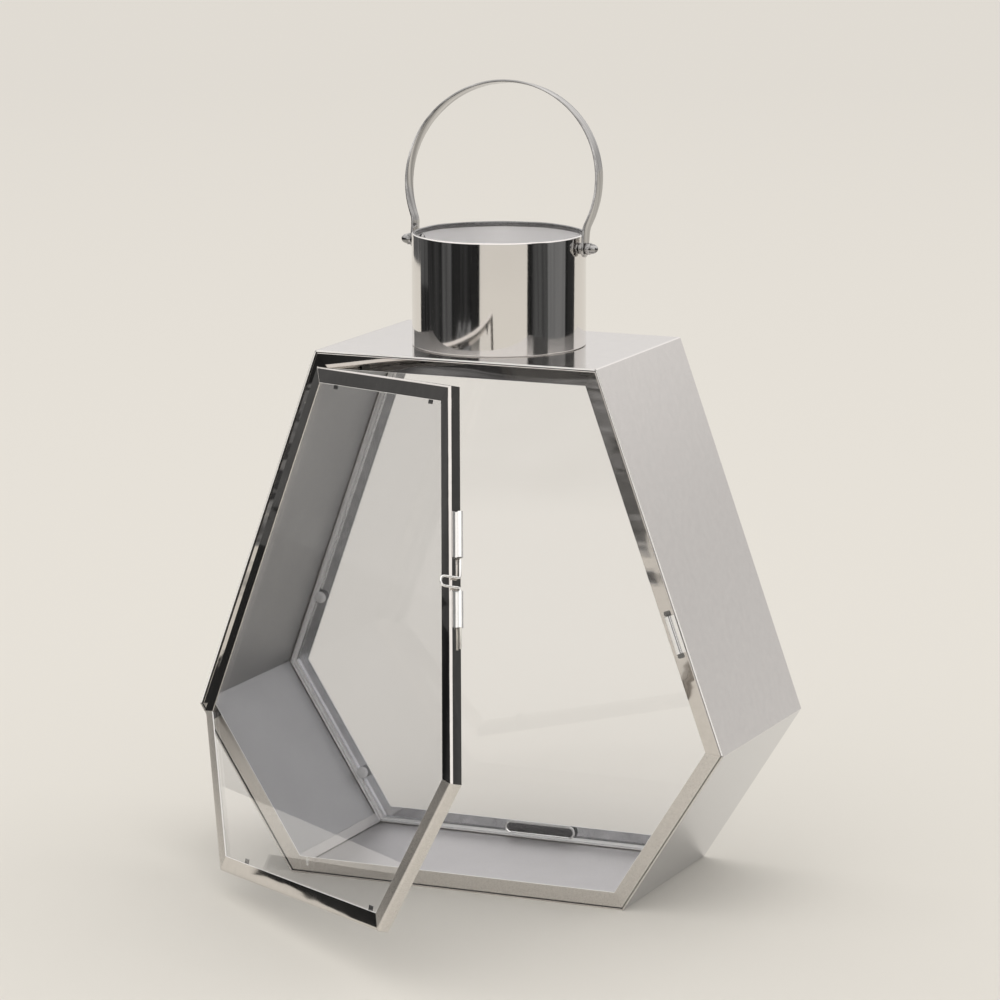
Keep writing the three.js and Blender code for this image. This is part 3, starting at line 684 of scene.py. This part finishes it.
def makeBodyStrips(s):
    # the rear strips' inner side takes rearStrip, lifted with painted light
    runs = (("front", 1, "strip", "strip"), ("rear", -1, "satinStrip", "rearStrip"))
    for k, side in enumerate(sideNames):
        for which, ahead, finish, inner in runs:
            node = which + "_frame_" + side
            size = sideMeasures(nodePoints(node), bodyCorners, k)
            low, high = size.min(axis=0), size.max(axis=0)
            face = low[1] if ahead == 1 else high[1]
            section = stripSection(low[0], face, high[0] - low[0], ahead * (high[1] - low[1]), s)
            if ahead == 1 and k in s["satinFront"]:
                finish = inner = "satinStrip"
            strip = mitredBar(which + "Strip_" + side, bodyCorners, k, section, s["gap"], finishes[finish],
                              cut=s["cutRows"], inner=finishes[inner])
            finished(strip, "root", node, slot="polished_steel" if ahead == 1 else "satin_steel")


def makeDoorStrips(s):
    # the hinged strip, last of the six, has notches and keeps its CAD shape
    for k, side in enumerate(sideNames[:-1]):
        node = "door_frame_" + side
        size = sideMeasures(closeDoor(nodePoints(node)), doorCorners, k)
        low, high = size.min(axis=0), size.max(axis=0)
        width, leg = high[:2] - low[:2]
        section = stripSection(low[0], low[1], width, leg, dict(s, bend=s["doorBend"]))
        finish = finishes["satinStrip" if k in s["satinDoor"] else "strip"]
        strip = mitredBar("doorStrip_" + side, doorCorners, k, section, s["gap"], finish, door=True,
                          cut=s["cutRows"])
        finished(strip, "door", node)


# chimney; rounds are in mm, one for each corner of the profile,
# and each of the waves is a number of turns, a share of the sway and a shift
chimneySet = dict(wall=1.0 * mm, hem=3.2 * mm, hemFold=1.3 * mm, hemGap=0.1 * mm, hemSlope=0.3 * mm,
                  foot=3.0 * mm, cornerSteps=7, sway=0.12 * mm, turns=240, crease=50, lift=0.6,
                  rounds=(0.3, 0.5, 1.0, 0.9, 0.4, 0.05, 0.1, 0.6, 0.3),
                  waves=((5, 1.0, 0.6), (9, 0.6, 2.0), (14, 0.4, 0.0)))


def makeChimney(s):
    # a profile turned about Z; the rim is folded in and flattened into a hem
    low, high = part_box("chimney")
    radius = (high[0] - low[0]) / 2
    bottom, rim = low[2], high[2]
    inner = radius - s["wall"]
    foot, fold = inner - s["foot"], inner - s["hemFold"]
    hem, floor = rim - s["hem"], bottom + s["wall"]
    corners = [(foot, bottom), (radius, bottom), (radius, rim), (fold, rim), (fold, hem),
               (inner - s["hemGap"], hem), (inner, hem - s["hemSlope"]), (inner, floor), (foot, floor)]
    steps = s["cornerSteps"]
    profile = softSection(corners, np.array(s["rounds"]) * mm, steps)
    angle = np.linspace(0, 2 * math.pi, s["turns"], endpoint=False)
    r, z = profile[:, :1], profile[:, 1:]
    # the thin tube is a little out of true towards its rim:
    # a few sines of the heading, growing as the height cubed
    wave = sum(share * np.sin(count * angle + shift) for count, share, shift in s["waves"])
    sway = s["sway"] * wave * ((z - bottom) / (rim - bottom)) ** 3
    r, z = r + sway, z + s["lift"] * sway
    grid = np.stack(np.broadcast_arrays(r * np.cos(angle), r * np.sin(angle), z), axis=-1)
    # the inner wall's finish is lifted near white as painted light
    coats = [finishes["mirror"], finishes["chimneyInside"], finishes["hem"]]
    obj = turnOut(gridObject("chimneyTube", grid, coats, closeRows=True, closeColumns=True))
    obj.data.shade_smooth()
    obj.data.set_sharp_from_angle(angle=math.radians(s["crease"]))
    # corners 3 to 5 are the hem's inner side, dark grey as painted shade, and 6 and 7 the matt inner wall
    index = np.zeros((len(profile), s["turns"]), dtype=np.int32)
    index[3 * steps:6 * steps] = 2
    index[6 * steps:8 * steps] = 1
    obj.data.polygons.foreach_set("material_index", index.ravel())
    return finished(obj, "root", "chimney")


# bail
bailSet = dict(width=10 * mm, thickness=1.5 * mm, edge=0.35 * mm, halfWidth=65.8 * mm, halfHeight=63 * mm,
               rise=40 * mm, drop=5.5 * mm, clear=0.3 * mm, lean=10, steps=180, tabSteps=14,
               tabCrowd=1.6, tabShare=0.9, tipShare=0.998, easings=3, crease=50)


def makeBail(s):
    # a flat section carried round: up a straight tab, over an oval, and down the other tab
    pivot = np.array(joints["handle_pivot"]["pos_m"])
    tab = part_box("acorn_nut_right")[0][0] - s["clear"] - s["thickness"] / 2
    a, b = s["halfWidth"] - s["thickness"] / 2, s["halfHeight"] - s["thickness"] / 2
    start = -math.acos(tab / a)
    t = np.linspace(start, math.pi - start, s["steps"])
    oval = np.stack([a * np.cos(t), s["rise"] + b * np.sin(t)], axis=1)
    # heights up the tab, closer together at its foot
    tall = oval[0, 1] + s["drop"]
    rise = -s["drop"] + tall * np.linspace(0, 1, s["tabSteps"])[:-1] ** s["tabCrowd"]
    right = np.stack([np.full_like(rise, tab), rise], axis=1)
    left = right[::-1] * (-1, 1)
    line = np.concatenate([right, oval, left])
    # the kink where tab meets oval is eased
    for _ in range(s["easings"]):
        line[1:-1] = (line[:-2] + 2 * line[1:-1] + line[2:]) / 4
    gone = np.gradient(line, axis=0)
    gone /= np.linalg.norm(gone, axis=1, keepdims=True)
    out = np.stack([gone[:, 1], -gone[:, 0]], axis=1)
    half = s["width"] / 2
    low = np.minimum(line[:, 1] - line[0, 1], half)
    # a round end to each tab, not quite a point at its foot
    narrow = np.sqrt(1 - (1 - low / half) ** 2 * s["tipShare"])
    narrow = np.where(np.abs(line[:, 0]) > tab * s["tabShare"], narrow, 1.0)
    thin = s["thickness"] / 2
    section = softSection([(-half, -thin), (half, -thin), (half, thin), (-half, thin)], [s["edge"]] * 4)
    depth = section[None, :, 0] * narrow[:, None]
    x = line[:, :1] + out[:, :1] * section[None, :, 1]
    z = line[:, 1:] + out[:, 1:] * section[None, :, 1]
    lean = math.radians(s["lean"])
    y, z = depth * math.cos(lean) + z * math.sin(lean), z * math.cos(lean) - depth * math.sin(lean)
    grid = np.stack([x, y + pivot[1], z + pivot[2]], axis=-1)
    return finished(cappedTube("bailStrap", grid, finishes["bail"], s["crease"]), "handle", "bail_strap")


# bolts and nuts of the bail
nutSet = dict(flats=7 * mm, hexHeight=3.2 * mm, chamfer=0.35 * mm, chamferShare=0.49, dome=4.6 * mm,
              domeShare=0.46, domeSteps=14, domeEnd=0.985, cornerShare=0.565, spacer=2.2 * mm,
              spacerChamfer=0.3 * mm, headStart=0.05, headSteps=9, headRadius=3.6 * mm,
              headRise=2.0 * mm, headStep=0.2 * mm,
              shank=2 * mm, turns=72)


def hexRadius(angle, flats, corner):
    # distance to a hexagon's side at each heading, with its corners a little rounded
    folded = np.mod(angle, math.pi / 3) - math.pi / 6
    return np.minimum(flats / 2 / np.cos(folded), flats * corner)


def turnedAlongX(name, stations, hand, finish):
    # rings at rising distance along X: stations is (distance, ring radii) with one radius for each heading
    distance, radii = stations
    turns = radii.shape[1]
    angle = np.linspace(0, 2 * math.pi, turns, endpoint=False)
    pivot = joints["handle_pivot"]["pos_m"]
    x = np.broadcast_to(distance[:, None] * hand, radii.shape)
    grid = np.stack([x, radii * np.cos(angle) + pivot[1], radii * np.sin(angle) + pivot[2]], axis=-1)
    return cappedTube(name, grid, finish)


def makeNuts(s):
    angle = np.linspace(0, 2 * math.pi, s["turns"], endpoint=False)
    hexagon = hexRadius(angle, s["flats"], s["cornerShare"])
    for side, hand in (("left", -1), ("right", 1)):
        edge = 0 if hand == 1 else 1
        low = abs(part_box("acorn_nut_" + side)[edge][0])
        # a hexagon with both faces chamfered, then a dome whose radius falls as an ellipse
        t = np.linspace(0, math.pi / 2 * s["domeEnd"], s["domeSteps"])
        domeRadius, domeRise = s["flats"] * s["domeShare"] * np.cos(t), s["dome"] * np.sin(t)
        chamfer = np.minimum(hexagon, s["flats"] * s["chamferShare"])
        rings = [chamfer, hexagon, hexagon, chamfer] + [np.full_like(angle, r) for r in domeRadius]
        tall, bevel = s["hexHeight"], s["chamfer"]
        places = np.concatenate([[0, bevel, tall - bevel, tall], tall + domeRise])
        obj = turnedAlongX("domedNut_" + side, (low + places, np.array(rings)), hand, finishes["nut"])
        finished(obj, "root", "acorn_nut_" + side)
        near = abs(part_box("pivot_spacer_" + side)[edge][0])
        rings = [chamfer, hexagon, hexagon, chamfer]
        bevel = s["spacerChamfer"]
        places = near + np.array([0, bevel, s["spacer"] - bevel, s["spacer"]])
        obj = turnedAlongX("spacerNut_" + side, (places, np.array(rings)), hand, finishes["nut"])
        finished(obj, "root", "pivot_spacer_" + side)
        head = abs(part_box("pivot_bolt_" + side)[edge][0])
        far = abs(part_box("pivot_bolt_" + side)[1 - edge][0])
        t = np.linspace(s["headStart"], math.pi / 2, s["headSteps"])
        radii = np.concatenate([s["headRadius"] * np.sin(t), [s["headRadius"], s["shank"], s["shank"]]])
        under = head + s["headRise"] + s["headStep"]
        places = np.concatenate([head + s["headRise"] * (1 - np.cos(t)), [under, under, far]])
        rings = np.repeat(radii[:, None], s["turns"], axis=1)
        obj = turnedAlongX("bailBolt_" + side, (places, rings), hand, finishes["nut"])
        finished(obj, "root", "pivot_bolt_" + side)


# latch
latchSet = dict(sheet=0.6 * mm, gape=0.5, rollSteps=40, wire=0.7 * mm, tightBend=1.6 * mm, bendSteps=9,
                capStart=0.15, capSteps=5, looseShare=0.49, loopClear=3 * mm, turns=14, crease=45)


def rolledSection(radius, reach, s):
    # the sheet's middle line: a plate, then a roll that stops short of it by the gape in radians
    t = np.linspace(-math.pi / 2, 1.5 * math.pi - s["gape"], s["rollSteps"])
    middle = radius - s["sheet"] / 2
    roll = np.stack([middle * np.cos(t), middle * np.sin(t)], axis=1)
    plate = np.array([(reach, -middle), (reach / 2, -middle)])
    return np.concatenate([plate, roll])


def thickLine(line, sheet):
    # offsets a line by half the sheet to both sides and joins the ends
    gone = np.gradient(line, axis=0)
    gone /= np.linalg.norm(gone, axis=1, keepdims=True)
    out = np.stack([gone[:, 1], -gone[:, 0]], axis=1) * sheet / 2
    return np.concatenate([line + out, (line - out)[::-1]])


def latchAxis():
    # the keeper's bore, in the measures of the body's upper right side
    size = sideMeasures(nodePoints("latch_keeper"), bodyCorners, 1)
    low, high = size.min(axis=0), size.max(axis=0)
    radius = (high[1] - low[1]) / 2
    return high[0] - radius, (high[1] + low[1]) / 2, radius, high[0] - radius - low[0]


def barrelPoints(section, turn, ends, place):
    # the section turned about the bore and carried from end to end
    inboard, y = place
    c, q = math.cos(turn), math.sin(turn)
    i = inboard + section[:, 0] * c - section[:, 1] * q
    back = y + section[:, 0] * q + section[:, 1] * c
    return onSide(bodyCorners, 1, i[:, None], back[:, None], np.asarray(ends)[None, :])


def makeBarrels(s):
    inboard, y, radius, reach = latchAxis()
    section = thickLine(rolledSection(radius, reach, s), s["sheet"])
    barrels = (("latchBarrelUpper", "latch_barrel_upper", True),
               ("latchBarrelLower", "latch_barrel_lower", True),
               ("keeper", "latch_keeper", False))
    for name, node, door in barrels:
        points = nodePoints(node)
        size = sideMeasures(closeDoor(points) if door else points, bodyCorners, 1)
        ends = (size[:, 2].min(), size[:, 2].max())
        shape = section * (1, -1) if door else section
        turn = -math.pi / 2 if door else math.pi
        grid = barrelPoints(shape, turn, ends, (inboard, y))
        obj = barObject(name, openDoor(grid) if door else grid, finishes["bright"], smooth=s["crease"])
        finished(obj, "door" if door else "root", node)


def makeWire(s):
    # a round section carried along a line with curved corners; its ends close in a half ball
    inboard, y, _, _ = latchAxis()
    size = sideMeasures(closeDoor(nodePoints("latch_bolt")), bodyCorners, 1)
    r = s["wire"]
    top, tip = size[:, 2].min(), size[:, 2].max()
    loop = size[size[:, 1] < y - s["loopClear"]]
    front = loop[:, 1].min() + r
    high, low = loop[:, 2].min() + r, loop[:, 2].max() - r
    loose, tight = s["looseShare"] * (low - high), s["tightBend"]
    path = foldPath([(y, top), (y, high), (front, high), (front, low), (y, low), (y, tip)],
                    (tight, loose, loose, tight), s["bendSteps"])
    gone = np.gradient(path, axis=0)
    gone /= np.linalg.norm(gone, axis=1, keepdims=True)
    # each end's rings: how far in from the tip, and how thick
    cap = np.linspace(s["capStart"], math.pi / 2, s["capSteps"])
    back, swell = r * (1 - np.sin(cap)), r * np.sin(cap)
    start = path[0] + gone[0] * back[:, None]
    end = path[-1] - gone[-1] * back[::-1, None]
    line = np.concatenate([start, path[1:-1], end])
    first, last = np.repeat(gone[:1], len(cap), 0), np.repeat(gone[-1:], len(cap), 0)
    heading = np.concatenate([first, gone[1:-1], last])
    thick = np.concatenate([swell, np.full(len(path) - 2, r), swell[::-1]])
    out = np.stack([heading[:, 1], -heading[:, 0]], axis=1)
    angle = np.linspace(0, 2 * math.pi, s["turns"], endpoint=False)
    i = inboard + thick[:, None] * np.sin(angle)
    deep = line[:, :1] + out[:, :1] * thick[:, None] * np.cos(angle)
    along = line[:, 1:] + out[:, 1:] * thick[:, None] * np.cos(angle)
    grid = openDoor(onSide(bodyCorners, 1, i, deep, along))
    return finished(cappedTube("latchWire", grid, finishes["bright"], None), "latch_bolt", "latch_bolt")


# rear clip
clipSet = dict(rings=[(0, 0), (0, 0.8), (0.35, 1.15), (1.0, 1.2), (1.5, 0.75), (2.1, 0.45), (3.2, 0.4),
                      (4.45, 0.4)],
               dullRow=4, turns=96)


def makeClip(s):
    # rings inside a pill outline: each ring is (distance inwards, height off the glass) in mm
    low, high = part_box("rear_glass_clip")
    centre = (np.array(low) + np.array(high)) / 2
    half, run = (high[2] - low[2]) / 2, (high[0] - low[0]) / 2 - (high[2] - low[2]) / 2
    angle = np.linspace(0, 2 * math.pi, s["turns"], endpoint=False)
    inset, rise = np.array(s["rings"]).T[:, :, None] * mm
    x = centre[0] + np.sign(np.cos(angle)) * run + (half - inset) * np.cos(angle)
    z = centre[2] + (half - inset) * np.sin(angle)
    y = high[1] - rise
    grid = np.stack(np.broadcast_arrays(x, y, z), axis=-1)
    obj = cappedTube("rearClip", grid, [finishes["bright"], finishes["hem"]])
    # the sunk middle is dark grey, painted shade
    index = np.arange(len(obj.data.polygons)) >= s["dullRow"] * s["turns"]
    obj.data.polygons.foreach_set("material_index", index.astype(np.int32))
    return finished(obj, "root", "rear_glass_clip")


# clear stops
stopSet = dict(foot=0.93, wall=0.12 * mm, fall=0.7, end=0.98, steps=12, turns=48)


def makeStops(s):
    for side in ("upper_right", "lower_right", "lower_left", "upper_left"):
        low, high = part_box("glass_button_" + side)
        centre = (np.array(low) + np.array(high)) / 2
        radius, height = (high[0] - low[0]) / 2, high[1] - low[1]
        # a low dome: flat back, short wall, then a crown whose radius falls as a power of the cosine
        t = np.linspace(0, math.pi / 2 * s["end"], s["steps"])
        r = np.concatenate([[radius * s["foot"], radius], radius * np.cos(t) ** s["fall"]])
        rise = np.concatenate([[0, s["wall"]], s["wall"] + (height - s["wall"]) * np.sin(t)])
        angle = np.linspace(0, 2 * math.pi, s["turns"], endpoint=False)
        x, z = centre[0] + r[:, None] * np.cos(angle), centre[2] + r[:, None] * np.sin(angle)
        grid = np.stack(np.broadcast_arrays(x, high[1] - rise[:, None], z), axis=-1)
        obj = cappedTube("clearStop_" + side, grid, finishes["stop"], None)
        finished(obj, "root", "glass_button_" + side, slot="clear_plastic")


finished(makeHood(sheetSet), "root", "top_plate", "upper_wall_left", "upper_wall_right")
finished(makeLowerBody(sheetSet), "root", "lower_wall_left", "lower_wall_right", "base_pan")
makeBaseLips(lipSet)
makeBodyStrips(stripSet)
makeDoorStrips(stripSet)
makeChimney(chimneySet)
makeBail(bailSet)
makeNuts(nutSet)
makeBarrels(latchSet)
makeWire(latchSet)
makeClip(clipSet)
makeStops(stopSet)


# small fittings on the frames
# patches: near and far inwards, then the start and end along the side, measured back from its far corner
fittingSet = dict(pad=dict(inboard=(3.0 * mm, 11.0 * mm), back=(14.5 * mm, 6.5 * mm), sheet=0.3 * mm,
                           round=0.6 * mm),
                  pin=dict(inboard=(5.4 * mm, 10.4 * mm), back=(12.3 * mm, 10.6 * mm), sheet=0.45 * mm,
                           round=0.8 * mm),
                  slotWide=4.6 * mm, slotTall=3.2 * mm, slotSheet=0.1 * mm, slotRound=1.2 * mm,
                  sunk=0.02 * mm, bead=1.7 * mm, beadInset=0.1 * mm, beadGap=0.05 * mm, beadSteps=9,
                  roundSteps=7)


def patchOn(name, k, inboard, along, y, sheet, finish, radius):
    # a thin plate with round corners lying on a front strip: its outline is carried through its thickness
    (a0, a1), (b0, b1) = inboard, along
    corners = [(a0, b0), (a1, b0), (a1, b1), (a0, b1)]
    outline = softSection(corners, [radius] * 4, fittingSet["roundSteps"])
    ends = onSide(bodyCorners, k, outline[:, :1], np.array([[y - sheet, y]]), outline[:, 1:])
    plate = barObject(name, ends, finishes[finish])
    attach(plate, "root")


def makeFittings(s):
    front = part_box("front_frame_top")[0][1]
    # a dark patch at the left shoulder, under the door's corner, that is a painted dark reflection, and a
    # bright pin end where the bottom strip meets the lower left one
    for name, k, key, face, finish in (("shoulderPad", 4, "pad", front - s["sunk"], "dark"),
                                       ("cornerPin", 3, "pin", front, "bright")):
        one, length = s[key], sideAxes(bodyCorners, k)[3]
        along = (length - one["back"][0], length - one["back"][1])
        patchOn(name, k, one["inboard"], along, face, one["sheet"], finish, one["round"])
    # the punched ends of the keeper's slot, as dark patches of painted shade
    size = sideMeasures(nodePoints("latch_keeper"), bodyCorners, 1)
    inboard = latchAxis()[0]
    wide, tall = s["slotWide"], s["slotTall"]
    for end, place in (("Upper", size[:, 2].min() - tall), ("Lower", size[:, 2].max())):
        patchOn("keeperSlot" + end, 1, (inboard - wide / 2, inboard + wide / 2), (place, place + tall),
                front - s["sunk"], s["slotSheet"], "hem", s["slotRound"])
    # clear bead in the corner of the rear strips and the pane, on every side but the top: a quarter round
    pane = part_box("rear_glass")[0][1] - s["beadGap"]
    for k in range(1, len(sideNames)):
        low = sideMeasures(nodePoints("rear_frame_" + sideNames[k]), bodyCorners, k).min(axis=0)[0]
        edge = low + stripSet["sheet"] + s["beadInset"]
        t = np.linspace(0, math.pi / 2, s["beadSteps"])
        curve = np.stack([edge + s["bead"] * np.cos(t), pane - s["bead"] * np.sin(t)], axis=1)
        section = np.concatenate([curve, [(edge, pane)]])
        name = "clearBead_" + sideNames[k]
        bead = mitredBar(name, bodyCorners, k, section, s["beadGap"], finishes["stop"])
        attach(bead, "root")


makeFittings(fittingSet)


# CAD pieces that keep their shape
keptSet = dict(weld=0.01 * mm, edge=0.12 * mm, segments=2, sharp=35)


def finishOf(name):
    if name in ("rear_glass", "door_glass"):
        return "glass"
    if "tab" in name:
        return "dark"
    if "frame" in name:
        return "strip"
    return "mirror"


def softenEdges(obj, s):
    weld = obj.modifiers.new("weld", "WELD")
    weld.merge_threshold = s["weld"]
    bevel = obj.modifiers.new("bevel", "BEVEL")
    bevel.width = s["edge"]
    bevel.segments = s["segments"]
    bevel.limit_method = "ANGLE"
    bevel.angle_limit = math.radians(s["sharp"])
    bevel.harden_normals = True


for name, obj in frame["nodes"].items():
    obj.data.materials.clear()
    obj.data.materials.append(finishes[finishOf(name)])
    softenEdges(obj, keptSet)
    print("finished", name)
